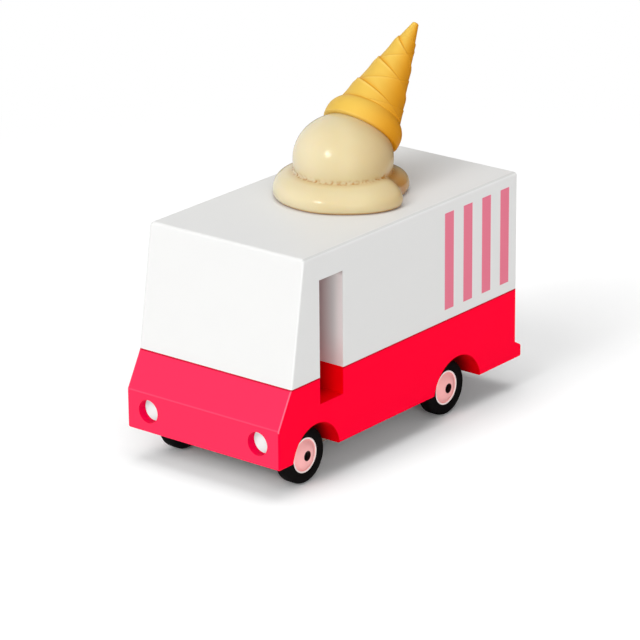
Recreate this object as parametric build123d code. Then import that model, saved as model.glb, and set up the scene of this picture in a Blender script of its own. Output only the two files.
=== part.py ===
from build123d import *
import math
import os

# A small painted wooden toy van with an upside-down ice cream cone on its roof.
# Millimetres. Origin on the floor under the middle of the van's length and width,
# front towards -Y, the van's left side towards +X, up +Z.

os.makedirs("parts", exist_ok=True)

# Body block
length = 104.0
width = 50.5
lower_height = 20.29
upper_height = 32.95
nose_height = 10.73
nose_rake = 5.25
screen_rake = 5.31
bumper_reach = 2.65
bumper_height = 4.8
bumper_drop = 1.5
roof_round = 1.0
corner_round = 0.5

# Wheels and axles
tyre_radius = 7.55
tyre_width = 4.9
tyre_shoulder = 1.3
tyre_bead = 0.7
tyre_inset = 3.25
hub_radius = 4.7
hub_sink = 0.6
hub_lip_width = 0.45
hub_groove_depth = 0.35
hub_dome_rise = 1.2
hub_boss_radius = 2.7
hub_boss_length = 1.6
hub_back_inset = 0.6
axle_radius = 1.2
axle_end_inset = 0.9
running_clearance = 0.05
side_play = 0.3

# Wheel arches: the rear one is cut a little wider and lower than the front one
front_arch_radius = 9.5
front_arch_lift = 0.0
rear_arch_radius = 10.4
rear_arch_lift = -0.6
rear_overhang = 15.95

# Chassis block let into the underside, bored across for both axles
underside_z = 8.84
chassis_wall = 1.73
chassis_overhang = 5.2
chassis_round = 0.8

# Door recess, cut blind into each side behind the front wheel
door_post = 6.04
door_width = 9.5
door_sill = 4.79
door_head = 6.98
door_depth = 12.0

# Headlamps, painted discs sunk in blind holes of the nose
lamp_edge = 7.05
lamp_height = 5.82
lamp_radius = 3.2
lamp_depth = 2.6
lamp_disc = 1.0
lamp_backing = 1.9

# Four upright bands on each side, laid in flush
band_count = 4
band_pitch = 8.2
band_width = 3.9
band_rear_gap = 5.65
band_foot_gap = 2.87
band_head_gap = 3.38
band_thickness = 0.3

# Scoop of ice cream sitting on the roof
topper_offset = 2.6
scoop_radius = 13.26
scoop_half_height = 11.86
scoop_lift = 9.72

# Melted base: a thick puddle with bulging edges. Its outline is a smooth line through
# these places, angle in degrees from +X turning left and reach in scoop radii
melt_outline = (
    {"angle": 8, "reach": 1.33},
    {"angle": 21, "reach": 1.2},
    {"angle": 36, "reach": 1.26},
    {"angle": 58, "reach": 1.36},
    {"angle": 84, "reach": 1.26},
    {"angle": 112, "reach": 1.32},
    {"angle": 142, "reach": 1.34},
    {"angle": 172, "reach": 1.43},
    {"angle": 196, "reach": 1.43},
    {"angle": 216, "reach": 1.4},
    {"angle": 238, "reach": 1.42},
    {"angle": 266, "reach": 1.43},
    {"angle": 288, "reach": 1.44},
    {"angle": 306, "reach": 1.43},
    {"angle": 324, "reach": 1.46},
    {"angle": 342, "reach": 1.5},
)

# Levels of the melted base: height above the roof and share of the outline there
melt_height = 6.7
melt_levels = (
    {"height": 0.0, "share": 0.95},
    {"height": 0.18, "share": 0.995},
    {"height": 0.42, "share": 0.99},
    {"height": 0.64, "share": 0.945},
    {"height": 0.84, "share": 0.85},
    {"height": 1.0, "share": 0.64},
)

# Rolled waffle cone pushed over the scoop, its tip leaning up and back
cone_lean = 45.2
cone_rim_back = 6.94
cone_rim_up = 5.18
cone_length = 35.0
cone_rim_radius = 10.6
cone_rim_round = 0.5
cone_collar_length = 6.0
cone_collar_bulge = 0.75
cone_wrap_radius = 8.82
cone_tip_radius = 0.9
wrap_pitch = 16.0
wrap_run = 3.6
wrap_fade = 0.15
wrap_root = 0.5
wrap_tip_gap = 6.4

# The two crossing sets of waffle edges, each with two starts
wrap_sets = (
    {"left_hand": True, "height": 0.45, "turn": 26.5},
    {"left_hand": False, "height": 0.28, "turn": 105.2},
)
wrap_starts = 2


def save(shape, node):
    export_step(shape, "parts/" + node + ".step")


def barrel(radius, x_from, x_to, y, z):
    """Round bar lying along X."""
    bar = Cylinder(radius, abs(x_to - x_from), rotation=(0, 90, 0))
    return Pos((x_from + x_to) / 2, y, z) * bar


def block(x_from, x_to, y_from, y_to, z_from, z_to):
    """Plain box from its six limits."""
    box = Box(abs(x_to - x_from), abs(y_to - y_from), abs(z_to - z_from))
    return Pos((x_from + x_to) / 2, (y_from + y_to) / 2, (z_from + z_to) / 2) * box


# Places that follow from the sizes
front_y = -length / 2
rear_y = length / 2
wall_y = rear_y - bumper_reach
half_width = width / 2
paint_line_z = underside_z + lower_height
roof_z = paint_line_z + upper_height
nose_bend_z = underside_z + nose_height
bumper_top_z = underside_z + bumper_height
front_paint_y = front_y + nose_rake
front_roof_y = front_paint_y + screen_rake
wheel_z = tyre_radius
tyre_outer_x = half_width - tyre_inset
tyre_inner_x = tyre_outer_x - tyre_width
boss_x = tyre_inner_x - hub_boss_length
chassis_half_width = boss_x - side_play
bore_radius = axle_radius + running_clearance
lamp_hole = lamp_depth + lamp_disc
front_axle_y = front_y + lamp_hole + lamp_backing + front_arch_radius
rear_axle_y = wall_y - rear_overhang - rear_arch_radius
past = tyre_inset

wheel_sets = {
    "front": {
        "y": front_axle_y,
        "arch_radius": front_arch_radius,
        "arch_z": wheel_z + front_arch_lift,
    },
    "rear": {
        "y": rear_axle_y,
        "arch_radius": rear_arch_radius,
        "arch_z": wheel_z + rear_arch_lift,
    },
}

# Body block: one side view drawn across, then parted at the paint line
side_view = Polyline(
    (front_y, underside_z),
    (front_y, nose_bend_z),
    (front_paint_y, paint_line_z),
    (front_roof_y, roof_z),
    (wall_y, roof_z),
    (wall_y, bumper_top_z),
    (rear_y, bumper_top_z - bumper_drop),
    (rear_y, underside_z),
    close=True,
)
body = extrude(make_face(Plane.YZ * side_view), amount=half_width, both=True)
roof_edges = [e for e in body.edges() if e.center().Z > roof_z - 0.01]
body = fillet(roof_edges, roof_round)


def is_step_corner(edge):
    """The inside corner where the bumper step meets the rear wall stays sharp."""
    middle = edge.center()
    return abs(middle.Y - wall_y) < 0.01 and abs(middle.Z - bumper_top_z) < 0.01


lower_edges = [
    e for e in body.edges()
    if e.center().Z < roof_z - 2 * roof_round and not is_step_corner(e)
]
body = fillet(lower_edges, corner_round)

# The chassis block and the place cut for it in the underside
chassis_front_y = front_axle_y - chassis_overhang
chassis_rear_y = rear_axle_y + chassis_overhang
chassis_top_z = wheel_z + bore_radius + chassis_wall
chassis = block(
    -chassis_half_width,
    chassis_half_width,
    chassis_front_y,
    chassis_rear_y,
    wheel_z - bore_radius - chassis_wall,
    chassis_top_z,
)
body = body - chassis
lowest_edges = chassis.edges().group_by(Axis.Z)[0]
chassis = fillet(lowest_edges, chassis_round)
for wheels in wheel_sets.values():
    chassis = chassis - barrel(
        bore_radius, -half_width, half_width, wheels["y"], wheel_z
    )
save(chassis, "chassis_block")

# Arches, door recesses and lamp holes cut into the block
for side in (-1, 1):
    for wheels in wheel_sets.values():
        body = body - barrel(
            wheels["arch_radius"],
            side * chassis_half_width,
            side * (half_width + past),
            wheels["y"],
            wheels["arch_z"],
        )
    door_front_y = front_roof_y + door_post
    door_floor_z = wheel_z + front_arch_lift + front_arch_radius + door_sill
    body = body - block(
        side * (half_width - door_depth),
        side * (half_width + past),
        door_front_y,
        door_front_y + door_width,
        door_floor_z,
        roof_z - door_head,
    )
    lamp_x = side * (half_width - lamp_edge)
    lamp_z = underside_z + lamp_height
    hole = Cylinder(lamp_radius, lamp_hole + past, rotation=(90, 0, 0))
    body = body - Pos(lamp_x, front_y + (lamp_hole - past) / 2, lamp_z) * hole
    disc = Cylinder(lamp_radius, lamp_disc, rotation=(90, 0, 0))
    disc = Pos(lamp_x, front_y + lamp_depth + lamp_disc / 2, lamp_z) * disc
    save(disc, "headlamp_left" if side > 0 else "headlamp_right")

body_lower = split(body, bisect_by=Plane.XY.offset(paint_line_z), keep=Keep.BOTTOM)
body_upper = split(body, bisect_by=Plane.XY.offset(paint_line_z), keep=Keep.TOP)

# Bands laid flush into both sides
for side in (-1, 1):
    bands = []
    for number in range(band_count):
        middle_y = wall_y - band_rear_gap - number * band_pitch
        bands.append(
            block(
                side * (half_width - band_thickness),
                side * half_width,
                middle_y - band_width / 2,
                middle_y + band_width / 2,
                paint_line_z + band_foot_gap,
                roof_z - band_head_gap,
            )
        )
    body_upper = body_upper - bands
    save(Compound(children=bands), "side_bands_left" if side > 0 else "side_bands_right")

save(body_lower, "body_lower")
save(body_upper, "body_upper")

# Wheel sets: a steel axle, two domed hubs and two soft tyres, drawn round +Z
lip_x = tyre_outer_x - hub_sink
groove_x = lip_x - hub_groove_depth
groove_radius = hub_radius - hub_lip_width
dome_x = groove_x + hub_dome_rise
dome_mid_radius = (groove_radius + axle_radius) / 2
hub_back_x = tyre_inner_x + hub_back_inset
hub_line = (
    Polyline(
        (axle_radius, dome_x),
        (axle_radius, boss_x),
        (hub_boss_radius, boss_x),
        (hub_boss_radius, hub_back_x),
        (hub_radius, hub_back_x),
        (hub_radius, lip_x),
        (groove_radius, lip_x),
        (groove_radius, groove_x),
    )
    + ThreePointArc(
        (groove_radius, groove_x),
        (dome_mid_radius, groove_x + hub_dome_rise * 0.74),
        (axle_radius, dome_x),
    )
)
hub = revolve(make_face(Plane.XZ * hub_line), Axis.Z)
tyre_view = Polyline(
    (hub_radius, tyre_inner_x + hub_sink),
    (hub_radius + tyre_bead, tyre_inner_x),
    (tyre_radius, tyre_inner_x),
    (tyre_radius, tyre_outer_x),
    (hub_radius + tyre_bead, tyre_outer_x),
    (hub_radius, lip_x),
    close=True,
)
tyre = revolve(make_face(Plane.XZ * tyre_view), Axis.Z)
tread_edges = [
    e for e in tyre.edges().filter_by(GeomType.CIRCLE) if e.radius > tyre_radius - 0.01
]
tyre = fillet(tread_edges, tyre_shoulder)

for name, wheels in wheel_sets.items():
    axle_reach = dome_x - axle_end_inset
    axle = barrel(axle_radius, -axle_reach, axle_reach, wheels["y"], wheel_z)
    save(axle, "axle_" + name)
    for word, turn in (("left", 90), ("right", -90)):
        to_side = Pos(0, wheels["y"], wheel_z) * Rot(0, turn, 0)
        save(to_side * hub, "hub_" + name + "_" + word)
        save(to_side * tyre, "tyre_" + name + "_" + word)

# Scoop: a squashed ball with its foot cut off at the roof
topper_y = (front_roof_y + wall_y) / 2 + topper_offset
scoop_z = roof_z + scoop_lift
ball = scale(Sphere(scoop_radius), (1, 1, scoop_half_height / scoop_radius))
ball = Pos(0, topper_y, scoop_z) * ball
above_roof = Pos(0, topper_y, roof_z + width) * Box(width * 2, width * 2, width * 2)
scoop = ball & above_roof
save(scoop, "ice_cream_scoop")

# Melted base round the scoop's foot
melt_rings = []
for level in melt_levels:
    ring_points = []
    for place in melt_outline:
        turn = math.radians(place["angle"])
        reach = place["reach"] * scoop_radius * level["share"]
        ring_points.append((reach * math.cos(turn), reach * math.sin(turn)))
    ring = make_face(Spline(*ring_points, periodic=True))
    melt_rings.append(Pos(0, topper_y, roof_z + level["height"] * melt_height) * ring)
melt = loft(melt_rings) - ball
save(melt, "ice_cream_base")

# Cone: turned body with a flared collar, then the waffle edges wound over it
wrap_slope = (cone_wrap_radius - cone_tip_radius) / (
    cone_length - cone_tip_radius - cone_collar_length
)
half_angle = math.atan(wrap_slope)
cone_view = Polyline(
    (cone_wrap_radius, cone_collar_length),
    (cone_tip_radius, cone_length - cone_tip_radius),
    (0, cone_length - cone_tip_radius / 4),
    (0, 0),
    (cone_rim_radius, 0),
) + ThreePointArc(
    (cone_rim_radius, 0),
    (
        (cone_rim_radius + cone_wrap_radius) / 2 + cone_collar_bulge,
        cone_collar_length * 0.6,
    ),
    (cone_wrap_radius, cone_collar_length),
)
cone = revolve(make_face(Plane.XZ * cone_view), Axis.Z)
rim_edges = cone.edges().group_by(Axis.Z)[0]
cone = fillet(rim_edges, cone_rim_round)
wrap_from = cone_collar_length + wrap_fade
wrap_to = cone_length - wrap_tip_gap
wrap_radius = cone_wrap_radius - (wrap_from - cone_collar_length) * wrap_slope


def wrap_place(back, out):
    """Point of the waffle edge's section: back towards the rim, out from the cone."""
    across = wrap_radius + back * math.sin(half_angle) + out * math.cos(half_angle)
    along = wrap_from - back * math.cos(half_angle) + out * math.sin(half_angle)
    return (across, along)


for wraps in wrap_sets:
    winding = Edge.make_helix(
        wrap_pitch / math.cos(half_angle),
        (wrap_to - wrap_from) / math.cos(half_angle),
        wrap_radius,
        center=(0, 0, wrap_from),
        normal=(0, 0, 1),
        angle=-math.degrees(half_angle),
        lefthand=wraps["left_hand"],
    )
    section = Polyline(
        wrap_place(0, -wrap_root),
        wrap_place(0, wraps["height"]),
        wrap_place(wrap_run, -wrap_fade),
        wrap_place(wrap_run, -wrap_root),
        close=True,
    )
    section = make_face(Plane.XZ * section)
    edge = Solid.sweep(section.face(), path=winding, is_frenet=True)
    for start in range(wrap_starts):
        cone = cone + Rot(0, 0, wraps["turn"] + start * 360 / wrap_starts) * edge

lean = math.radians(cone_lean)
cone_place = Plane(
    origin=(0, topper_y + cone_rim_back, scoop_z + cone_rim_up),
    x_dir=(1, 0, 0),
    z_dir=(0, math.sin(lean), math.cos(lean)),
)
cone = cone_place.location * cone - ball
save(cone, "waffle_cone")
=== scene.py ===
import bpy
import math
from mathutils import Matrix, Vector, noise


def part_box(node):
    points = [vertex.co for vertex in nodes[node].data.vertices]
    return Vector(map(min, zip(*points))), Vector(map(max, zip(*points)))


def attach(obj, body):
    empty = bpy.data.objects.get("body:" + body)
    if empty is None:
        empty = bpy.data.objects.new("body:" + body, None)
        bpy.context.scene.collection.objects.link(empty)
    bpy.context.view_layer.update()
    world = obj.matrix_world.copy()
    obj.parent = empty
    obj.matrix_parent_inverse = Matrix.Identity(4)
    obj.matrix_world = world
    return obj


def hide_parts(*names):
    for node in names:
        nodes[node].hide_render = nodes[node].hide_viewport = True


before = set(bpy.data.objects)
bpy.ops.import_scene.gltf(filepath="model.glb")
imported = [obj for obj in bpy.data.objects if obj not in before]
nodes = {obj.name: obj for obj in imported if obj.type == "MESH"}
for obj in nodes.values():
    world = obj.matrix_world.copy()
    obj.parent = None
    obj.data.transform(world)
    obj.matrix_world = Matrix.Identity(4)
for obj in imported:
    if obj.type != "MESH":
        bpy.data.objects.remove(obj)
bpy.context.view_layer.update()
mm = 0.001
straight = 0.99  # a face points along an axis from here on


# helpers for modelling
def selectOnly(*pieces):
    bpy.ops.object.select_all(action="DESELECT")
    for piece in pieces:
        piece.select_set(True)
    bpy.context.view_layer.objects.active = pieces[0]


def startPiece(name):  # the primitive just added gets its name, and its place goes into its mesh
    piece = bpy.context.object
    piece.name = name
    piece.data.name = name
    selectOnly(piece)
    bpy.ops.object.transform_apply(location=True, rotation=True, scale=True)
    return piece


def pickFaces(piece, wanted):  # leaves edit mode with just the wanted faces selected
    bpy.ops.object.mode_set(mode="EDIT")
    bpy.ops.mesh.select_mode(type="FACE")
    bpy.ops.mesh.select_all(action="DESELECT")
    bpy.ops.object.mode_set(mode="OBJECT")
    for face in piece.data.polygons:
        face.select = wanted(face)


def stepEndFace(piece, direction, steps):  # insets the end face and pushes it, step by step
    pickFaces(
        piece, lambda face: face.normal.x * direction > straight and len(face.vertices) > 4
    )
    bpy.ops.object.mode_set(mode="EDIT")
    for inset, push in steps:
        bpy.ops.mesh.inset(thickness=inset, depth=push, use_even_offset=True)
    bpy.ops.object.mode_set(mode="OBJECT")


def smoothShade(piece, degrees):
    selectOnly(piece)
    bpy.ops.object.shade_smooth_by_angle(angle=math.radians(degrees))


def applyModifier(piece, kind, **settings):
    modifier = piece.modifiers.new(kind.title(), kind)
    for key, value in settings.items():
        setattr(modifier, key, value)
    selectOnly(piece)
    bpy.ops.object.modifier_apply(modifier=modifier.name)


def copyPiece(piece, name, place):
    copied = piece.copy()
    copied.data = piece.data.copy()
    copied.name = name
    copied.data.name = name
    copied.data.transform(place)
    bpy.context.scene.collection.objects.link(copied)
    return copied


def smoothStep(low, high, value):
    share = min(1.0, max(0.0, (value - low) / (high - low)))
    return share * share * (3 - 2 * share)


# shared effects, as node groups
def newGroup(name, inputs, outputs):
    group = bpy.data.node_groups.new(name, "ShaderNodeTree")
    for label, kind, value in inputs:
        socket = group.interface.new_socket(name=label, in_out="INPUT", socket_type=kind)
        socket.default_value = value
    for label, kind in outputs:
        group.interface.new_socket(name=label, in_out="OUTPUT", socket_type=kind)
    return group, group.nodes.new("NodeGroupInput"), group.nodes.new("NodeGroupOutput")


def addNode(tree, kind, settings=None, **sockets):
    node = tree.nodes.new(kind)
    for key, value in (settings or {}).items():
        setattr(node, key, value)
    for label, value in sockets.items():
        node.inputs[label].default_value = value
    return node


def addMath(tree, operation, first, second, clamp=False):
    node = addNode(tree, "ShaderNodeMath", {"operation": operation, "use_clamp": clamp})
    for slot, value in enumerate((first, second)):
        if isinstance(value, (int, float)):
            node.inputs[slot].default_value = value
        else:
            tree.links.new(value, node.inputs[slot])
    return node.outputs[0]


def addNoise(tree, scale, detail=2.0, roughness=0.5):  # scale is in waves per metre, along x, y, z
    coords = addNode(tree, "ShaderNodeTexCoord")
    mapping = addNode(tree, "ShaderNodeMapping", Scale=scale)
    texture = addNode(tree, "ShaderNodeTexNoise", Scale=1.0, Detail=detail, Roughness=roughness)
    tree.links.new(coords.outputs["Object"], mapping.inputs["Vector"])
    tree.links.new(mapping.outputs["Vector"], texture.inputs["Vector"])
    return texture.outputs["Fac"]


def addAxis(tree, axis):  # one of the object coordinates
    coords = addNode(tree, "ShaderNodeTexCoord")
    split = tree.nodes.new("ShaderNodeSeparateXYZ")
    tree.links.new(coords.outputs["Object"], split.inputs[0])
    return split.outputs[axis]


def addRamp(tree, value, low, high):  # from 0 at low to 1 at high
    ramp = addNode(tree, "ShaderNodeMapRange", {"interpolation_type": "SMOOTHSTEP"})
    ramp.inputs["From Min"].default_value = low
    ramp.inputs["From Max"].default_value = high
    tree.links.new(value, ramp.inputs["Value"])
    return ramp.outputs[0]


def addZone(tree, zone):  # a mask from ranges, a round, a ramp and a line
    mask = 1.0
    # X is the distance from the middle, so a zone lies on both sides
    places = {"X": addMath(tree, "ABSOLUTE", addAxis(tree, "X"), 0)}
    places["Y"], places["Z"] = addAxis(tree, "Y"), addAxis(tree, "Z")
    for axis, (low, high) in zone.get("ranges", {}).items():
        over = addMath(tree, "GREATER_THAN", places[axis], low)
        under = addMath(tree, "LESS_THAN", places[axis], high)
        mask = addMath(tree, "MULTIPLY", addMath(tree, "MULTIPLY", over, under), mask)
    if "round" in zone:
        total = 0.0
        for axis, middle in zone["round"].items():
            away = addMath(tree, "SUBTRACT", places[axis], middle)
            total = addMath(tree, "ADD", addMath(tree, "MULTIPLY", away, away), total)
        inside = addMath(tree, "LESS_THAN", total, zone["radius"] ** 2)
        mask = addMath(tree, "MULTIPLY", inside, mask)
    if "ramp" in zone:
        axis, low, high = zone["ramp"]
        mask = addMath(tree, "MULTIPLY", addRamp(tree, places[axis], low, high), mask)
    if "line" in zone:
        away = addMath(tree, "ABSOLUTE", addMath(tree, "SUBTRACT", places["Z"], zone["line"]), 0)
        mask = addMath(tree, "MULTIPLY", addRamp(tree, away, zone["fades"], zone["solid"]), mask)
    return addMath(tree, "MULTIPLY", mask, zone.get("strength", 1.0))


def addMix(tree, factor, first, second, blend="MIX"):
    node = addNode(tree, "ShaderNodeMix", {"data_type": "RGBA", "blend_type": blend})
    for slot, value in ((0, factor), (6, first), (7, second)):
        if isinstance(value, bpy.types.NodeSocket):
            tree.links.new(value, node.inputs[slot])
        else:
            node.inputs[slot].default_value = value
    return node.outputs[2]


def mixShaders(tree, factor, first, second):
    mixed = tree.nodes.new("ShaderNodeMixShader")
    for slot, socket in enumerate((factor, first, second)):
        tree.links.new(socket, mixed.inputs[slot])
    return mixed.outputs[0]


paintWork = {
    "grain": {"scale": (1500, 70, 1500), "detail": 3.0, "roughness": 0.6},
    "clouds": {"scale": (75, 45, 75)},
    "peel": {"scale": (2600, 2600, 2600), "detail": 1.0},
    "peelHeight": 0.5,
    "sheenSwing": 0.16,
    "depth": 0.03 * mm,
}
castWork = {
    "clouds": {"scale": (110, 110, 110)},
    "specks": {"scale": (1800, 1800, 1800)},
    "ripples": {"scale": (420, 420, 420)},
    "speckHeight": 0.12,
    "sheenSwing": 0.12,
    "depth": 0.1 * mm,
}


def addFinish(group, entry, leave, swinging, work, height, strength):
    # roughness that swings with a noise, and a bump from a height
    centred = addMath(group, "SUBTRACT", swinging, 0.5)
    swing = addMath(group, "MULTIPLY", centred, work["sheenSwing"])
    sheen = addMath(group, "ADD", entry.outputs["Roughness"], swing, clamp=True)
    group.links.new(sheen, leave.inputs["Roughness"])
    bump = addNode(group, "ShaderNodeBump", Distance=work["depth"])
    group.links.new(entry.outputs[strength], bump.inputs["Strength"])
    group.links.new(height, bump.inputs["Height"])
    group.links.new(bump.outputs["Normal"], leave.inputs["Normal"])


def buildPaintFilm():  # brushed paint over sanded wood: faint grain, soft unevenness, fine peel
    group, entry, leave = newGroup(
        "paintFilm",
        [
            ("Colour", "NodeSocketColor", (0.8, 0.8, 0.8, 1)),
            ("Deep Colour", "NodeSocketColor", (0.6, 0.6, 0.6, 1)),
            ("Unevenness", "NodeSocketFloat", 0.1),
            ("Roughness", "NodeSocketFloat", 0.4),
            ("Grain", "NodeSocketFloat", 0.2),
        ],
        [
            ("Colour", "NodeSocketColor"),
            ("Roughness", "NodeSocketFloat"),
            ("Normal", "NodeSocketVector"),
        ],
    )
    grain = addNoise(group, **paintWork["grain"])
    clouds = addNoise(group, **paintWork["clouds"])
    peel = addNoise(group, **paintWork["peel"])
    cloudy = addMath(group, "MULTIPLY", clouds, entry.outputs["Unevenness"])
    colour = addMix(group, cloudy, entry.outputs["Colour"], entry.outputs["Deep Colour"])
    group.links.new(colour, leave.inputs["Colour"])
    fine = addMath(group, "MULTIPLY", peel, paintWork["peelHeight"])
    height = addMath(group, "ADD", grain, fine)
    addFinish(group, entry, leave, clouds, paintWork, height, "Grain")
    return group


def buildCastSkin():  # moulded resin or rubber: two tones, painted light from the lip highlight mask, painted shade from the crease shade mask, soft ripples
    group, entry, leave = newGroup(
        "castSkin",
        [
            ("Colour", "NodeSocketColor", (0.8, 0.8, 0.8, 1)),
            ("Second Colour", "NodeSocketColor", (0.6, 0.6, 0.6, 1)),
            ("Crease Shade Colour", "NodeSocketColor", (0.4, 0.4, 0.4, 1)),
            ("Crease_shade", "NodeSocketFloat", 0.0),
            ("Lip Highlight Colour", "NodeSocketColor", (1.0, 1.0, 1.0, 1)),
            ("Lip_highlight", "NodeSocketFloat", 0.0),
            ("Roughness", "NodeSocketFloat", 0.3),
            ("Ripple", "NodeSocketFloat", 0.2),
        ],
        [
            ("Colour", "NodeSocketColor"),
            ("Roughness", "NodeSocketFloat"),
            ("Normal", "NodeSocketVector"),
        ],
    )
    clouds = addNoise(group, **castWork["clouds"])
    specks = addNoise(group, **castWork["specks"])
    ripples = addNoise(group, **castWork["ripples"])
    tone = addMix(group, clouds, entry.outputs["Colour"], entry.outputs["Second Colour"])
    highlighted = addMix(group, entry.outputs["Lip_highlight"], tone, entry.outputs["Lip Highlight Colour"])
    colour = addMix(group, entry.outputs["Crease_shade"], highlighted, entry.outputs["Crease Shade Colour"])
    group.links.new(colour, leave.inputs["Colour"])
    fine = addMath(group, "MULTIPLY", specks, castWork["speckHeight"])
    height = addMath(group, "ADD", ripples, fine)
    addFinish(group, entry, leave, specks, castWork, height, "Ripple")
    return group


paintFilm = buildPaintFilm()
castSkin = buildCastSkin()
print("shared effects built")


# materials: each places a shared effect with its own values
materials = {}


def newMaterial(name, effect, values, shader, attributes=(), zones=(), bounce=None):
    material = bpy.data.materials.new(name)
    material.use_nodes = True
    tree = material.node_tree
    principled = tree.nodes["Principled BSDF"]
    for label, value in shader.items():
        principled.inputs[label].default_value = value
    placed = tree.nodes.new("ShaderNodeGroup")
    placed.node_tree = effect
    for label, value in values.items():
        placed.inputs[label].default_value = value
    for attribute in attributes:
        reader = addNode(tree, "ShaderNodeAttribute", {"attribute_name": attribute.lower()})
        tree.links.new(reader.outputs["Fac"], placed.inputs[attribute])
    colour = placed.outputs["Colour"]
    keepsColour = 0.0
    for zone in zones:
        mask = addZone(tree, zone)
        colour = addMix(tree, mask, colour, zone["colour"])
        if zone.get("bounces"):
            keepsColour = addMath(tree, "MAXIMUM", keepsColour, mask)
    if bounce:  # elsewhere the light thrown on to other surfaces is plainer than the paint
        path = tree.nodes.new("ShaderNodeLightPath")
        factor = addMath(tree, "SUBTRACT", path.outputs["Is Diffuse Ray"], keepsColour, clamp=True)
        colour = addMix(tree, factor, colour, bounce)
    tree.links.new(colour, principled.inputs["Base Color"])
    tree.links.new(placed.outputs["Roughness"], principled.inputs["Roughness"])
    tree.links.new(placed.outputs["Normal"], principled.inputs["Normal"])
    material.diffuse_color = values["Colour"]
    materials[name] = material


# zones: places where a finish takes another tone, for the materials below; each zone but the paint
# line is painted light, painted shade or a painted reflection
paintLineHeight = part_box("body_lower")[1].z
noseDepth = (-52.1 * mm, -46.2 * mm)
noseRanges = {"X": (0.0, 24.9 * mm), "Y": noseDepth}
doorRanges = {
    "X": (0.0, 25.15 * mm),
    "Y": (-35.45 * mm, -25.85 * mm),
    "Z": (21.7 * mm, 55.2 * mm),
}
# painted light: the nose faces are painted a paler, pinker red for the front light and sheen on
# them
paintedNoseLight = {"ranges": noseRanges, "colour": (1.0, 0.029, 0.09, 1)}
# painted highlight: a thin lighter line along the bend of the nose
noseBendHighlight = {
    "ranges": noseRanges,
    "line": 19.57 * mm,
    "fades": 0.3 * mm,
    "solid": 0.05 * mm,
    "strength": 0.28,
    "colour": (1.0, 0.13, 0.22, 1),
}
# painted highlight: a lighter strip on the rounded corner of the nose
noseCornerHighlight = {
    "ranges": {"X": (24.86 * mm, 25.16 * mm), "Y": noseDepth, "Z": (19 * mm, 29 * mm)},
    "strength": 0.6,
    "colour": (1.0, 0.2, 0.3, 1),
}
paintLine = {
    "line": paintLineHeight,
    "fades": 0.55 * mm,
    "solid": 0.2 * mm,
    "strength": 0.75,
    "colour": (0.25, 0.0, 0.01, 1),
}
# painted shade: the wheel arches darken towards their inner ends
archShade = {
    "ranges": {"Y": (-47 * mm, 34 * mm), "Z": (8 * mm, 17.6 * mm)},
    "ramp": ("X", 24 * mm, 18 * mm),
    "strength": 0.85,
    "colour": (0.1, 0.0, 0.0, 1),
}
# painted shade: a deeper red inside the wheel arches
frontArchShade = {
    "round": {"Y": -37 * mm, "Z": 7.55 * mm},
    "radius": 9.65 * mm,
    "colour": (0.8, 0.0, 0.004, 1),
}
rearArchShade = dict(frontArchShade, round={"Y": 23 * mm, "Z": 6.95 * mm}, radius=10.55 * mm)
# painted shade: a deeper red on the walls of the lamp holes
lampHoleShade = {
    "ranges": {"Y": (-51.95 * mm, -46 * mm)},
    "round": {"X": 18.2 * mm, "Z": 14.66 * mm},
    "radius": 3.25 * mm,
    "colour": (0.88, 0.0, 0.05, 1),
}
# painted shade: a deeper red in the red part of the door recess, which keeps its red in the light
# it throws on other surfaces
doorwayShade = {
    "ranges": doorRanges,
    "colour": (0.97, 0.0, 0.004, 1),
    "bounces": True,
}
# painted shade: the red in the door recess darkens deeper in
doorwayDepthShade = {
    "ranges": doorRanges,
    "ramp": ("X", 23.5 * mm, 16.5 * mm),
    "strength": 0.7,
    "colour": (0.24, 0.0, 0.0, 1),
}
# painted shade: the white in the door recess darkens deeper in
doorDepthShade = {
    "ranges": doorRanges,
    "ramp": ("X", 24 * mm, 16.5 * mm),
    "strength": 0.68,
    "colour": (0.3, 0.105, 0.105, 1),
}
# painted reflection: a pink tint low in the door recess, where the red throws its light
doorFootReflection = {
    "ranges": doorRanges,
    "ramp": ("Z", 39 * mm, 28 * mm),
    "strength": 0.32,
    "colour": (0.72, 0.35, 0.35, 1),
}
# painted light: the white near the mouth of the door recess is lighter
doorMouthLight = {
    "ranges": doorRanges,
    "ramp": ("X", 21.5 * mm, 24.5 * mm),
    "strength": 0.6,
    "colour": (1.0, 0.87, 0.86, 1),
}
# painted shadow: a dark band under the head of the door recess
doorHeadShadow = {
    "ranges": doorRanges,
    "ramp": ("Z", 53.4 * mm, 55.0 * mm),
    "strength": 0.55,
    "colour": (0.25, 0.17, 0.17, 1),
}
# painted shade: the rounded roof edges are darker than the faces beside them
roofEdgeShade = {
    "ranges": {"X": (24.5 * mm, 25.03 * mm), "Z": (61.6 * mm, 62.2 * mm)},
    "strength": 0.6,
    "colour": (0.56, 0.565, 0.55, 1),
}
# painted shade: the chassis block darkens towards its sides, next to the wheels
blockEndShade = {
    "ramp": ("X", 12 * mm, 15.5 * mm),
    "strength": 0.75,
    "colour": (0.16, 0.13, 0.12, 1),
}

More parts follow.
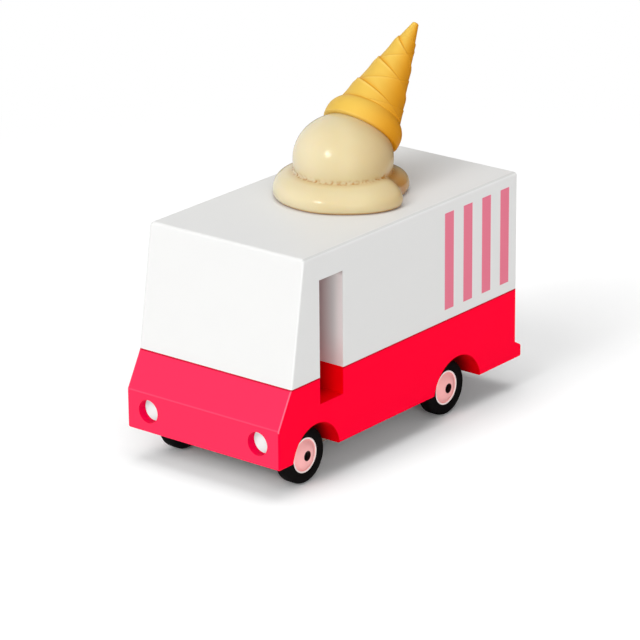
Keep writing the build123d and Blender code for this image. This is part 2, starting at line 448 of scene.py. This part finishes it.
newMaterial(
    "redPaint",
    paintFilm,
    {
        "Colour": (1.0, 0.0, 0.031, 1),
        "Deep Colour": (0.96, 0.0, 0.025, 1),
        "Unevenness": 0.5,
        "Roughness": 0.4,
        "Grain": 0.22,
    },
    {"Specular IOR Level": 0.01},
    zones=[
        paintedNoseLight,
        noseBendHighlight,
        noseCornerHighlight,
        paintLine,
        frontArchShade,
        rearArchShade,
        archShade,
        lampHoleShade,
        doorwayShade,
        doorwayDepthShade,
    ],
    bounce=(0.3, 0.27, 0.27, 1),
)
newMaterial(
    "whitePaint",
    paintFilm,
    {
        "Colour": (0.72, 0.72, 0.712, 1),
        "Deep Colour": (0.69, 0.69, 0.682, 1),
        "Unevenness": 0.5,
        "Roughness": 0.42,
        "Grain": 0.2,
    },
    {"Specular IOR Level": 0.3},
    zones=[doorDepthShade, doorMouthLight, doorFootReflection, doorHeadShadow, roofEdgeShade],
)
newMaterial(
    "rosePaint",
    paintFilm,
    {
        "Colour": (0.77, 0.185, 0.27, 1),
        "Deep Colour": (0.72, 0.16, 0.245, 1),
        "Unevenness": 0.5,
        "Roughness": 0.45,
        "Grain": 0.25,
    },
    {"Specular IOR Level": 0.25},
)
newMaterial(
    "lampPaint",
    paintFilm,
    {
        "Colour": (1.0, 1.0, 1.0, 1),
        "Deep Colour": (0.96, 0.96, 0.96, 1),
        "Unevenness": 0.4,
        "Roughness": 0.35,
        "Grain": 0.1,
    },
    {"Coat Weight": 0.1},
)
newMaterial(
    "bareWood",
    paintFilm,
    {
        "Colour": (0.68, 0.43, 0.26, 1),
        "Deep Colour": (0.52, 0.3, 0.165, 1),
        "Unevenness": 0.9,
        "Roughness": 0.6,
        "Grain": 0.9,
    },
    {},
    zones=[blockEndShade],
    bounce=(0.3, 0.29, 0.28, 1),
)
newMaterial(
    "axleSteel",
    castSkin,
    {
        "Colour": (0.035, 0.028, 0.028, 1),
        "Second Colour": (0.02, 0.016, 0.016, 1),
        "Roughness": 0.5,
        "Ripple": 0.1,
    },
    {"Metallic": 1.0},
)
# painted highlight on the hub's raised lip, painted shade near black in its axle mouth
newMaterial(
    "pinkHub",
    castSkin,
    {
        "Colour": (1.0, 0.485, 0.475, 1),
        "Second Colour": (1.0, 0.44, 0.43, 1),
        "Crease Shade Colour": (0.02, 0.005, 0.005, 1),
        "Lip Highlight Colour": (1.0, 0.84, 0.82, 1),
        "Roughness": 0.3,
        "Ripple": 0.04,
    },
    {"Coat Weight": 0.15, "Coat Roughness": 0.2},
    ["Crease_shade", "Lip_highlight"],
)
newMaterial(
    "blackTyre",
    castSkin,
    {
        "Colour": (0.005, 0.0044, 0.0045, 1),
        "Second Colour": (0.0075, 0.0066, 0.0067, 1),
        "Roughness": 0.6,
        "Ripple": 0.12,
    },
    {"Specular IOR Level": 0.015},
)
# the crease shade colour is painted shade, the lip highlight colour is painted light on the lit
# side
newMaterial(
    "creamResin",
    castSkin,
    {
        "Colour": (0.64, 0.56, 0.34, 1),
        "Second Colour": (0.605, 0.51, 0.285, 1),
        "Crease Shade Colour": (0.46, 0.22, 0.055, 1),
        "Lip Highlight Colour": (0.8, 0.72, 0.49, 1),
        "Roughness": 0.18,
        "Ripple": 0.2,
    },
    {
        "Subsurface Weight": 0.25,
        "Subsurface Radius": (1.0, 0.5, 0.2),
        "Subsurface Scale": 0.003,
    },
    ["Crease_shade", "Lip_highlight"],
)
# the crease shade colour is painted shade in the creases and on the shaded side, the lip highlight
# colour a painted highlight on the sheet edges and rim
newMaterial(
    "waffleResin",
    castSkin,
    {
        "Colour": (0.7, 0.46, 0.09, 1),
        "Second Colour": (0.68, 0.425, 0.065, 1),
        "Crease Shade Colour": (0.6, 0.228, 0.0, 1),
        "Lip Highlight Colour": (0.82, 0.57, 0.15, 1),
        "Roughness": 0.42,
        "Ripple": 0.12,
    },
    {"Specular IOR Level": 0.06},
    ["Crease_shade", "Lip_highlight"],
)
print("materials built:", len(materials))


# body, bands, lamps, chassis and axles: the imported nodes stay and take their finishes
nodeFinish = {
    "body_lower": "redPaint",
    "body_upper": "whitePaint",
    "side_bands_left": "rosePaint",
    "side_bands_right": "rosePaint",
    "headlamp_left": "lampPaint",
    "headlamp_right": "lampPaint",
    "chassis_block": "bareWood",
    "axle_front": "axleSteel",
    "axle_rear": "axleSteel",
}
for node, finish in nodeFinish.items():
    mesh = nodes[node].data
    mesh.materials.clear()
    mesh.materials.append(materials[finish])
print("packed nodes finished:", len(nodeFinish))


# wheels: one tyre and one hub are modelled lying along X, outer face at x = 0, then copied
wheel = {
    "sides": 96,
    "tyreRadius": 7.55 * mm,
    "tyreWidth": 4.9 * mm,
    "shoulder": 1.3 * mm,
    "shoulderCuts": 7,
    "wallShares": (0.45, 0.45, 0.1),
    "wallRise": 0.04 * mm,
    "beadShares": (0.25, 0.75),
    "beadDip": 0.06 * mm,
    "hubRadius": 4.7 * mm,
    "hubSink": 0.6 * mm,
    "beadWidth": 0.7 * mm,
    "hubBack": 4.3 * mm,
    "lipWidth": 0.45 * mm,
    "lipRound": 0.6,
    "grooveDepth": 0.35 * mm,
    "grooveWall": 0.03 * mm,
    "domeRise": 1.2 * mm,
    "domeCurve": 2.2,
    "domeSteps": 12,
    "axleRadius": 1.2 * mm,
    "mouthWidth": 0.18 * mm,
    "mouthEdge": 0.04 * mm,
    "mouthDrops": (0.06 * mm, 0.8 * mm, 0.05 * mm, 0.6 * mm),
    "bossRadius": 2.7 * mm,
    "bossLength": 2.1 * mm,
    "draft": 0.01 * mm,
    "slack": 0.02 * mm,
    "smoothAngle": 30,
}


def modelTyre():
    bpy.ops.object.select_all(action="DESELECT")
    bpy.ops.mesh.primitive_cylinder_add(
        vertices=wheel["sides"],
        radius=wheel["tyreRadius"],
        depth=wheel["tyreWidth"],
        location=(-wheel["tyreWidth"] / 2, 0, 0),
        rotation=(0, math.pi / 2, 0),
    )
    tyre = startPiece("tyrePattern")
    pickFaces(tyre, lambda face: abs(face.normal.x) > straight)
    bpy.ops.object.mode_set(mode="EDIT")
    bpy.ops.mesh.region_to_loop()
    bpy.ops.mesh.bevel(offset=wheel["shoulder"], segments=wheel["shoulderCuts"])
    bpy.ops.object.mode_set(mode="OBJECT")
    wall = wheel["tyreRadius"] - wheel["shoulder"] - wheel["hubRadius"] - wheel["beadWidth"]
    outer, flat, inner = [wall * share for share in wheel["wallShares"]]
    dip, seat = [wheel["beadWidth"] * share for share in wheel["beadShares"]]
    side = [
        (outer, wheel["wallRise"]),
        (flat, 0),
        (inner, -wheel["wallRise"]),
        (dip, -wheel["beadDip"]),
        (seat, wheel["beadDip"] - wheel["hubSink"]),
    ]
    for direction in (1, -1):
        stepEndFace(tyre, direction, side)
    pickFaces(tyre, lambda face: len(face.vertices) > 4)
    bpy.ops.object.mode_set(mode="EDIT")
    bpy.ops.mesh.bridge_edge_loops()
    bpy.ops.object.mode_set(mode="OBJECT")
    smoothShade(tyre, wheel["smoothAngle"])
    return tyre


def modelHub():
    bpy.ops.object.select_all(action="DESELECT")
    depth = wheel["hubBack"] - wheel["hubSink"]
    bpy.ops.mesh.primitive_cylinder_add(
        vertices=wheel["sides"],
        radius=wheel["hubRadius"],
        depth=depth,
        location=(-wheel["hubSink"] - depth / 2, 0, 0),
        rotation=(0, math.pi / 2, 0),
    )
    hub = startPiece("hubPattern")
    edge = wheel["lipWidth"] / 4
    crown = edge * wheel["lipRound"]
    steps = [(edge, crown), (edge * 2, 0), (edge, -crown)]
    steps.append((wheel["grooveWall"], -wheel["grooveDepth"]))
    inner = wheel["hubRadius"] - wheel["lipWidth"] - wheel["grooveWall"]
    mouth = wheel["axleRadius"] + wheel["mouthWidth"]
    span = inner - mouth

    def rise(share):  # height of the dome at that share of the way in from the groove
        return wheel["domeRise"] * (1 - (1 - share) ** wheel["domeCurve"])

    for step in range(wheel["domeSteps"]):
        low = rise(step / wheel["domeSteps"])
        high = rise((step + 1) / wheel["domeSteps"])
        steps.append((span / wheel["domeSteps"], high - low))
    rounding = wheel["mouthEdge"]
    insets = (rounding, rounding, wheel["mouthWidth"] - 2 * rounding, wheel["draft"])
    steps += [(inset, -drop) for inset, drop in zip(insets, wheel["mouthDrops"])]
    stepEndFace(hub, 1, steps)
    boss = [
        (wheel["hubRadius"] - wheel["bossRadius"], 0),
        (wheel["draft"], wheel["bossLength"]),
        (wheel["bossRadius"] - wheel["axleRadius"], 0),
    ]
    stepEndFace(hub, -1, boss)
    slack = wheel["slack"]
    # painted highlight on the raised lip, painted shade near black in the axle mouth
    lipHighlights = hub.data.attributes.new("lip_highlight", "FLOAT", "POINT")
    creaseShades = hub.data.attributes.new("crease_shade", "FLOAT", "POINT")
    for vertex in hub.data.vertices:
        radius = math.hypot(vertex.co.y, vertex.co.z)
        raised = radius > inner + slack and vertex.co.x > -wheel["hubSink"] - slack
        lipHighlights.data[vertex.index].value = 1.0 if raised else 0.0
        creaseShades.data[vertex.index].value = 1.0 if radius < mouth - slack else 0.0
    smoothShade(hub, wheel["smoothAngle"])
    return hub


tyrePattern = modelTyre()
hubPattern = modelHub()
for end in ("front", "rear"):
    for side in ("left", "right"):
        word = end + "_" + side
        low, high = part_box("tyre_" + word)
        middle = (low + high) / 2
        outer = high.x if side == "left" else low.x
        turn = 0 if side == "left" else math.pi
        place = Matrix.Translation((outer, middle.y, middle.z)) @ Matrix.Rotation(turn, 4, "Z")
        for pattern, node, finish, slot in (
            (tyrePattern, "tyre_", "blackTyre", "black_tyre"),
            (hubPattern, "hub_", "pinkHub", "pink_hub"),
        ):
            made = copyPiece(pattern, node + word + "_made", place)
            made.data.materials.append(materials[finish])
            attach(made, end + "_wheels")
            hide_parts(node + word)
for pattern in (tyrePattern, hubPattern):
    bpy.data.objects.remove(pattern)
print("wheels modelled")


# topper: what the ice cream and the waffle cone share
topper = {
    "halfHeight": 11.86 * mm,
    "lean": math.radians(45.2),
    "rimBack": 6.94 * mm,
    "rimUp": 5.18 * mm,
    # the side away from the light, painted in shade on the ice cream and the cone
    "shadeSide": Vector((0.78, 0.62, 0.0)),
}
scoopLow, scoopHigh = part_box("ice_cream_scoop")
scoopCentre = (scoopLow + scoopHigh) / 2
scoopCentre.z = scoopHigh.z - topper["halfHeight"]
scoopRadius = (scoopHigh.x - scoopLow.x) / 2
rimCentre = scoopCentre + Vector((0, topper["rimBack"], topper["rimUp"]))
coneAxis = Vector((0, math.sin(topper["lean"]), math.cos(topper["lean"])))


def outsideScoop(point):  # distance outside the squashed ball, about right close to it
    away = point - scoopCentre
    away.z *= scoopRadius / topper["halfHeight"]
    return away.length - scoopRadius


def towardShade(direction):  # how far it points to the side painted in shade, darker and browner
    return direction.dot(topper["shadeSide"])


# ice cream: the scoop and its melted base are fused into one soft cast form
iceCream = {
    "weld": 0.001 * mm,
    "voxel": 0.24 * mm,
    "softening": {"factor": 0.5, "iterations": 7},
    "footHeight": 1 * mm,
    "upperFades": (8 * mm, 6 * mm),
    "creaseReach": 1.0 * mm,
    "raggedHeight": 0.42 * mm,
    "raggedWaves": 1350,
    "notchTurn": math.radians(24),
    "notchReach": 1.2,
    "notchTop": (9 * mm, 6 * mm),
    "rimSide": (-4 * mm, 9 * mm),
    # painted shade and painted light: where each begins, where it is full, its strength; all are
    # painted shade but the last, which is painted light on the lit side
    "contactShade": (0.9 * mm, 0.2 * mm, 0.8),
    "pitShade": (0.1, -0.4, 0.85),
    "foldShade": (2.6 * mm, 0.0, 0.36),
    "shadedSide": (0.0, 1.0, 0.3),
    "underRimShadow": (-4.5 * mm, -0.3 * mm, 0.2),
    "notchShade": (9 * mm, 0.5 * mm, 0.6),
    "paintedLight": (0.1, 1.0, 0.85),
}
roofZ = scoopLow.z


def plainCopy(node):
    copied = nodes[node].copy()
    copied.data = nodes[node].data.copy()
    for key in list(copied.keys()):
        del copied[key]
    copied.parent = None
    bpy.context.scene.collection.objects.link(copied)
    return copied


def lightAndShadeAt(kind, value):
    begins, full, strength = iceCream[kind]
    return smoothStep(begins, full, value) * strength


def modelIceCream():
    ball = plainCopy("ice_cream_scoop")
    foot = plainCopy("ice_cream_base")
    selectOnly(ball, foot)
    bpy.ops.object.join()
    ball.name = "ice_cream_made"
    ball.data.name = "ice_cream_made"
    bpy.ops.object.mode_set(mode="EDIT")
    bpy.ops.mesh.select_all(action="SELECT")
    bpy.ops.mesh.remove_doubles(threshold=iceCream["weld"])
    bpy.ops.object.mode_set(mode="OBJECT")
    applyModifier(ball, "REMESH", mode="VOXEL", voxel_size=iceCream["voxel"])
    applyModifier(ball, "SMOOTH", **iceCream["softening"])
    creaseShades = ball.data.attributes.new("crease_shade", "FLOAT", "POINT")
    lipHighlights = ball.data.attributes.new("lip_highlight", "FLOAT", "POINT")
    turn = iceCream["notchTurn"]
    notchPlace = Vector((math.cos(turn), math.sin(turn), 0)) * scoopRadius * iceCream["notchReach"]
    notchPlace += Vector((scoopCentre.x, scoopCentre.y, 0))
    normals = [v.normal.copy() for v in ball.data.vertices]
    for vertex, normal in zip(ball.data.vertices, normals):
        place = vertex.co.copy()
        height = place.z - roofZ
        outside = abs(outsideScoop(place))
        upper = smoothStep(*iceCream["upperFades"], height)
        if height <= iceCream["footHeight"]:
            upper = 0.0
        near = smoothStep(iceCream["creaseReach"], 0, outside)
        ragged = noise.noise(place * iceCream["raggedWaves"]) * near * upper
        vertex.co += normal * ragged * iceCream["raggedHeight"]
        toNotch = (Vector((place.x, place.y, 0)) - notchPlace).length
        fromRim = (place - rimCentre).dot(coneAxis)
        # painted shade: darker at the roof contact, in the pits, along the fold, on the shaded
        # side, under the cone's rim and in the notch
        paintedShade = lightAndShadeAt("contactShade", height) + lightAndShadeAt("pitShade", ragged)
        paintedShade += lightAndShadeAt("foldShade", outside) * upper
        paintedShade += lightAndShadeAt("shadedSide", towardShade(normal))
        paintedShade += lightAndShadeAt("underRimShadow", fromRim) * smoothStep(*iceCream["rimSide"], place.x)
        paintedShade += lightAndShadeAt("notchShade", toNotch) * smoothStep(*iceCream["notchTop"], height)
        creaseShades.data[vertex.index].value = min(1.0, paintedShade)
        # painted light: paler on the side towards the light
        lipHighlights.data[vertex.index].value = lightAndShadeAt("paintedLight", -towardShade(normal))
    ball.data.materials.clear()
    ball.data.materials.append(materials["creamResin"])
    selectOnly(ball)
    bpy.ops.object.shade_smooth()
    return ball


iceCreamPiece = modelIceCream()
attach(iceCreamPiece, "body")
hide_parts("ice_cream_scoop", "ice_cream_base")
print("ice cream modelled, faces:", len(iceCreamPiece.data.polygons))


# waffle cone: a grid wrapped round the cone, with the two crossing sets of sheet edges
waffle = {  # lengths in mm, along the cone from its rim or out from its axis
    "around": 256,
    "length": 35.0,
    "rimRadius": 10.6,
    "rimRound": 0.6,
    "rimSteps": 6,
    "rimShares": (-0.4, 0.0),
    # painted highlight along the rounded rim
    "rimHighlight": 0.4,
    "rimSearch": (5.0, 14.0),
    "halvings": 24,
    "collar": 6.2,
    "collarBulge": 0.22,
    "collarTaper": 1.72,
    "collarCurve": 3.4,
    # painted shade in the crease at the collar's shoulder
    "collarShade": 0.8,
    "collarReach": 0.35,
    "wrapRadius": 8.82,
    "wrapFrom": 6.0,
    "edgesFrom": 6.15,
    "edgesTo": 28.7,
    "edgesFade": (0.4, 0.5),
    "pitch": 16.0,
    "starts": 2,
    "ahead": 0.6,
    "groove": 0.08,
    "grooveReach": 0.5,
    "creaseReach": 0.55,
    "creaseShare": 0.8,
    "lip_highlight": 0.3,
    "run": 4.5,
    "runCurve": 1.2,
    # where the painted highlight along a sheet edge rises and falls
    "highlightRises": (0.15, 0.45),
    "highlightFalls": (1.1, 0.5),
    "rowStep": 0.14,
    "tipRadius": 0.9,
    "tipFrom": 29.4,
    "tipAround": 32,
    "tipRowStep": 0.45,
    "tipSteps": 6,
    "tipRise": 0.27,
    "tipCurve": 0.7,
    # painted shade on the side away from the light: where it begins, where it is full, its
    # strength
    "sideShade": (-0.35, 1.0, 0.98),
    "weld": 0.002 * mm,
    "sets": [
        # each set: hand, ridge height, turn, crease depth with its painted shade, painted
        # highlight
        {"hand": -1, "height": 0.33, "turn": math.radians(26.5), "crease_shade": 0.9, "paintedLight": 0.5},
        {"hand": 1, "height": 0.18, "turn": math.radians(105.2), "crease_shade": 0.35, "paintedLight": 0.3},
    ],
}


def coneRadius(along):
    if along < waffle["collar"]:
        share = along / waffle["collar"]
        bulge = waffle["collarBulge"] * math.sin(math.pi * share)
        return waffle["rimRadius"] + bulge - waffle["collarTaper"] * share ** waffle["collarCurve"]
    run = waffle["length"] - waffle["tipRadius"] - waffle["wrapFrom"]
    slope = (waffle["wrapRadius"] - waffle["tipRadius"]) / run
    return waffle["wrapRadius"] - (along - waffle["wrapFrom"]) * slope


def sheetEdge(along, turn, sheet):  # height, painted crease shade and painted highlight of one set of edges at a place
    spacing = waffle["pitch"] / waffle["starts"]
    climb = sheet["hand"] * waffle["pitch"] * (turn - sheet["turn"]) / (2 * math.pi)
    back = (waffle["edgesFrom"] + climb - along) % spacing
    if back > spacing * waffle["ahead"]:
        back -= spacing
    fadeIn, fadeOut = waffle["edgesFade"]
    shown = smoothStep(waffle["collar"], waffle["collar"] + fadeIn, along)
    shown *= smoothStep(waffle["edgesTo"] + fadeOut, waffle["edgesTo"], along)
    groove = waffle["groove"] * sheet["crease_shade"]
    if back < 0:
        height = -groove * math.exp(back / waffle["grooveReach"])
        crease_shade = math.exp(back / waffle["creaseReach"])
    else:
        rising = smoothStep(0, waffle["lip_highlight"], back)
        falling = max(0.0, 1 - max(0.0, back - waffle["lip_highlight"]) / (waffle["run"] - waffle["lip_highlight"]))
        ridge = rising * falling ** waffle["runCurve"] * sheet["height"]
        height = -groove * (1 - rising) + ridge
        crease_shade = 1 - smoothStep(0, waffle["lip_highlight"] * waffle["creaseShare"], back)
    paintedLight = smoothStep(*waffle["highlightRises"], back) * smoothStep(*waffle["highlightFalls"], back)
    return height * shown, crease_shade * shown * sheet["crease_shade"], paintedLight * shown * sheet["paintedLight"]


def scoopMeets(across):  # radius at which the rim plane meets the scoop
    low, high = waffle["rimSearch"]
    for halving in range(waffle["halvings"]):
        middle = (low + high) / 2
        if outsideScoop(rimCentre + across * middle * mm) > 0:
            high = middle
        else:
            low = middle
    return low


def coneRows():  # from inside the rim, round it, along the cone and over the tip
    rows = [{"along": 0.0, "rim": share} for share in waffle["rimShares"]]
    for step in range(1, waffle["rimSteps"]):
        angle = math.pi / 2 * step / waffle["rimSteps"]
        along = waffle["rimRound"] * (1 - math.cos(angle))
        rows.append({"along": along, "rim": math.sin(angle)})
    along = waffle["rimRound"]
    tip = waffle["length"] - waffle["tipRadius"]
    while along < tip:
        rows.append({"along": along})
        along += waffle["rowStep"] if along < waffle["tipFrom"] else waffle["tipRowStep"]
    for step in range(waffle["tipSteps"] + 1):
        angle = math.pi / 2 * step / waffle["tipSteps"]
        radius = waffle["tipRadius"] * math.cos(angle) ** waffle["tipCurve"]
        rows.append({"along": tip + waffle["tipRise"] * math.sin(angle), "radius": radius})
    return rows


def modelWaffleCone():
    rows = coneRows()
    bpy.ops.object.select_all(action="DESELECT")
    bpy.ops.mesh.primitive_grid_add(
        x_subdivisions=waffle["around"], y_subdivisions=len(rows) - 1, size=1
    )
    cone = startPiece("waffle_cone_made")
    creaseShades = cone.data.attributes.new("crease_shade", "FLOAT", "POINT")
    lipHighlights = cone.data.attributes.new("lip_highlight", "FLOAT", "POINT")
    sideAxis = Vector((1, 0, 0))
    backAxis = coneAxis.cross(sideAxis)
    sideShadeFrom, sideShadeFull, sideShade = waffle["sideShade"]
    for vertex in cone.data.vertices:
        row = rows[round((vertex.co.y + 0.5) * (len(rows) - 1))]
        share = vertex.co.x + 0.5
        if row["along"] > waffle["tipFrom"]:  # fewer faces round the thin tip
            share = round(share * waffle["tipAround"]) / waffle["tipAround"]
        turn = share * 2 * math.pi
        across = sideAxis * math.cos(turn) + backAxis * math.sin(turn)
        radius, crease_shade, lip_highlight = row.get("radius"), 0.0, 0.0
        if "rim" in row:
            lip_highlight = waffle["rimHighlight"]
            inner = scoopMeets(across)
            outer = coneRadius(waffle["rimRound"])
            radius = inner + (outer - inner) * row["rim"]
        elif radius is None:
            radius = coneRadius(row["along"])
            # the sheet edges take painted shade in their creases and a painted highlight on their
            # lips
            for sheet in waffle["sets"]:
                height, depth, paintedLight = sheetEdge(row["along"], turn, sheet)
                radius += height
                crease_shade = max(crease_shade, depth)
                lip_highlight = max(lip_highlight, paintedLight)
            # painted shade along the collar's shoulder
            shoulder = math.exp(-abs(row["along"] - waffle["collar"]) / waffle["collarReach"])
            crease_shade = max(crease_shade, shoulder * waffle["collarShade"])
        vertex.co = rimCentre + (across * radius + coneAxis * row["along"]) * mm
        # painted shade darkens the side away from the light, and the painted highlights stay off
        # it
        shadedSide = smoothStep(sideShadeFrom, sideShadeFull, towardShade(across)) * sideShade
        creaseShades.data[vertex.index].value = max(crease_shade, shadedSide)
        lipHighlights.data[vertex.index].value = lip_highlight * (1 - shadedSide)
    bpy.ops.object.mode_set(mode="EDIT")
    bpy.ops.mesh.select_all(action="SELECT")
    bpy.ops.mesh.remove_doubles(threshold=waffle["weld"])
    bpy.ops.mesh.normals_make_consistent(inside=False)
    bpy.ops.object.mode_set(mode="OBJECT")
    cone.data.materials.append(materials["waffleResin"])
    bpy.ops.object.shade_smooth()
    return cone


waffleCone = modelWaffleCone()
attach(waffleCone, "body")
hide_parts("waffle_cone")
print("waffle cone modelled, faces:", len(waffleCone.data.polygons))


# studio: pale floor, soft lights, camera at the photograph's angle
studio = {
    "floorSize": 6.0,
    "floorColour": (0.95, 0.95, 0.95, 1),
    "floorSeen": (1.04, 1.04, 1.04, 1),
    "darkSide": (0.62, 0.78, 0.0),
    "fades": (0.12, 0.3),
    "sky": 0.3,
    "darkGloss": 0.02,
    "floorCard": (-0.02, 0.03),
    "skyCard": (0.0, 0.5),
    "suns": [
        # only the first of them glints on gloss
        {"name": "glintLight", "from": (-0.05, -0.855, 0.512), "power": 0.16, "width": 15},
        {"name": "frontLight", "from": (-0.05, -0.72, 0.69), "power": 0.31, "width": 34},
        {"name": "overheadLight", "from": (0.03, 0.0, 1.0), "power": 0.352, "width": 46},
        {"name": "sideFill", "from": (0.78, -0.6, 0.16), "power": 0.577, "width": 45},
    ],
}
camera = {
    "place": (0.55994, -0.70125, 0.35676),
    "right": (0.78172, 0.62357, -0.00845),
    "up": (-0.2079, 0.27335, 0.93918),
    "back": (0.58795, -0.73242, 0.34333),
    "lens": 203.96,
    "sensor": 36,
    "clip": (0.01, 20),
}


def addCard(tree, place, path, reach, lit, kind):  # the set is dark behind, for gloss only
    side = addNode(tree, "ShaderNodeVectorMath", {"operation": "DOT_PRODUCT"})
    side.inputs[1].default_value = studio["darkSide"]
    tree.links.new(place, side.inputs[0])
    shade = addRamp(tree, side.outputs["Value"], *reach)
    dark = addNode(tree, kind, Strength=studio["darkGloss"])
    factor = addMath(tree, "MULTIPLY", path.outputs["Is Glossy Ray"], shade)
    return mixShaders(tree, factor, lit, dark.outputs[0])


def buildFloor():
    bpy.ops.object.select_all(action="DESELECT")
    bpy.ops.mesh.primitive_plane_add(size=studio["floorSize"])
    floor = startPiece("studioFloor")
    material = bpy.data.materials.new("studioPaper")
    material.use_nodes = True
    tree = material.node_tree
    tree.nodes.clear()
    output = tree.nodes.new("ShaderNodeOutputMaterial")
    path = tree.nodes.new("ShaderNodeLightPath")
    toCamera = path.outputs["Is Camera Ray"]
    paper = tree.nodes.new("ShaderNodeBsdfDiffuse")
    shown = addMix(tree, toCamera, studio["floorColour"], studio["floorSeen"])
    tree.links.new(shown, paper.inputs["Color"])
    glow = addNode(tree, "ShaderNodeEmission", Color=(1, 1, 1, 1), Strength=1.0)
    place = tree.nodes.new("ShaderNodeTexCoord").outputs["Object"]
    reach = addNode(tree, "ShaderNodeVectorMath", {"operation": "LENGTH"})
    tree.links.new(place, reach.inputs[0])
    far = addRamp(tree, reach.outputs["Value"], *studio["fades"])
    seen = addMath(tree, "MAXIMUM", toCamera, path.outputs["Is Glossy Ray"])
    fade = addMath(tree, "MULTIPLY", seen, far)
    lit = mixShaders(tree, fade, paper.outputs[0], glow.outputs[0])
    upper = addCard(tree, place, path, studio["floorCard"], lit, "ShaderNodeEmission")
    facing = tree.nodes.new("ShaderNodeNewGeometry")
    gone = tree.nodes.new("ShaderNodeBsdfTransparent")  # the floor isn't seen from below
    surface = mixShaders(tree, facing.outputs["Backfacing"], upper, gone.outputs[0])
    tree.links.new(surface, output.inputs["Surface"])
    floor.data.materials.append(material)


def buildSky():
    world = bpy.data.worlds.new("studioSky")
    bpy.context.scene.world = world
    world.use_nodes = True
    tree = world.node_tree
    tree.nodes.clear()
    output = tree.nodes.new("ShaderNodeOutputWorld")
    path = tree.nodes.new("ShaderNodeLightPath")
    dim = addNode(tree, "ShaderNodeBackground", Color=(1, 1, 1, 1), Strength=studio["sky"])
    bright = addNode(tree, "ShaderNodeBackground", Color=(1, 1, 1, 1), Strength=1.0)
    seen = addMath(tree, "MAXIMUM", path.outputs["Is Camera Ray"], path.outputs["Is Glossy Ray"])
    lit = mixShaders(tree, seen, dim.outputs[0], bright.outputs[0])
    place = tree.nodes.new("ShaderNodeTexCoord").outputs["Generated"]
    surface = addCard(tree, place, path, studio["skyCard"], lit, "ShaderNodeBackground")
    tree.links.new(surface, output.inputs["Surface"])


def buildLights():
    for place, sun in enumerate(studio["suns"]):
        bpy.ops.object.light_add(type="SUN")
        light = bpy.context.object
        light.name = sun["name"]
        light.rotation_euler = Vector(sun["from"]).to_track_quat("Z", "Y").to_euler()
        light.data.energy = sun["power"] * math.pi
        light.data.angle = math.radians(sun["width"])
        light.visible_glossy = place == 0


def buildCamera():
    data = bpy.data.cameras.new("photoCamera")
    data.lens = camera["lens"]
    data.sensor_width = camera["sensor"]
    data.clip_start, data.clip_end = camera["clip"]
    holder = bpy.data.objects.new("photoCamera", data)
    bpy.context.scene.collection.objects.link(holder)
    axes = Matrix((camera["right"], camera["up"], camera["back"])).transposed()
    holder.matrix_world = Matrix.Translation(camera["place"]) @ axes.to_4x4()
    bpy.context.scene.camera = holder


buildFloor()
buildSky()
buildLights()
buildCamera()
bpy.context.scene.view_settings.view_transform = "Standard"
print("studio built")
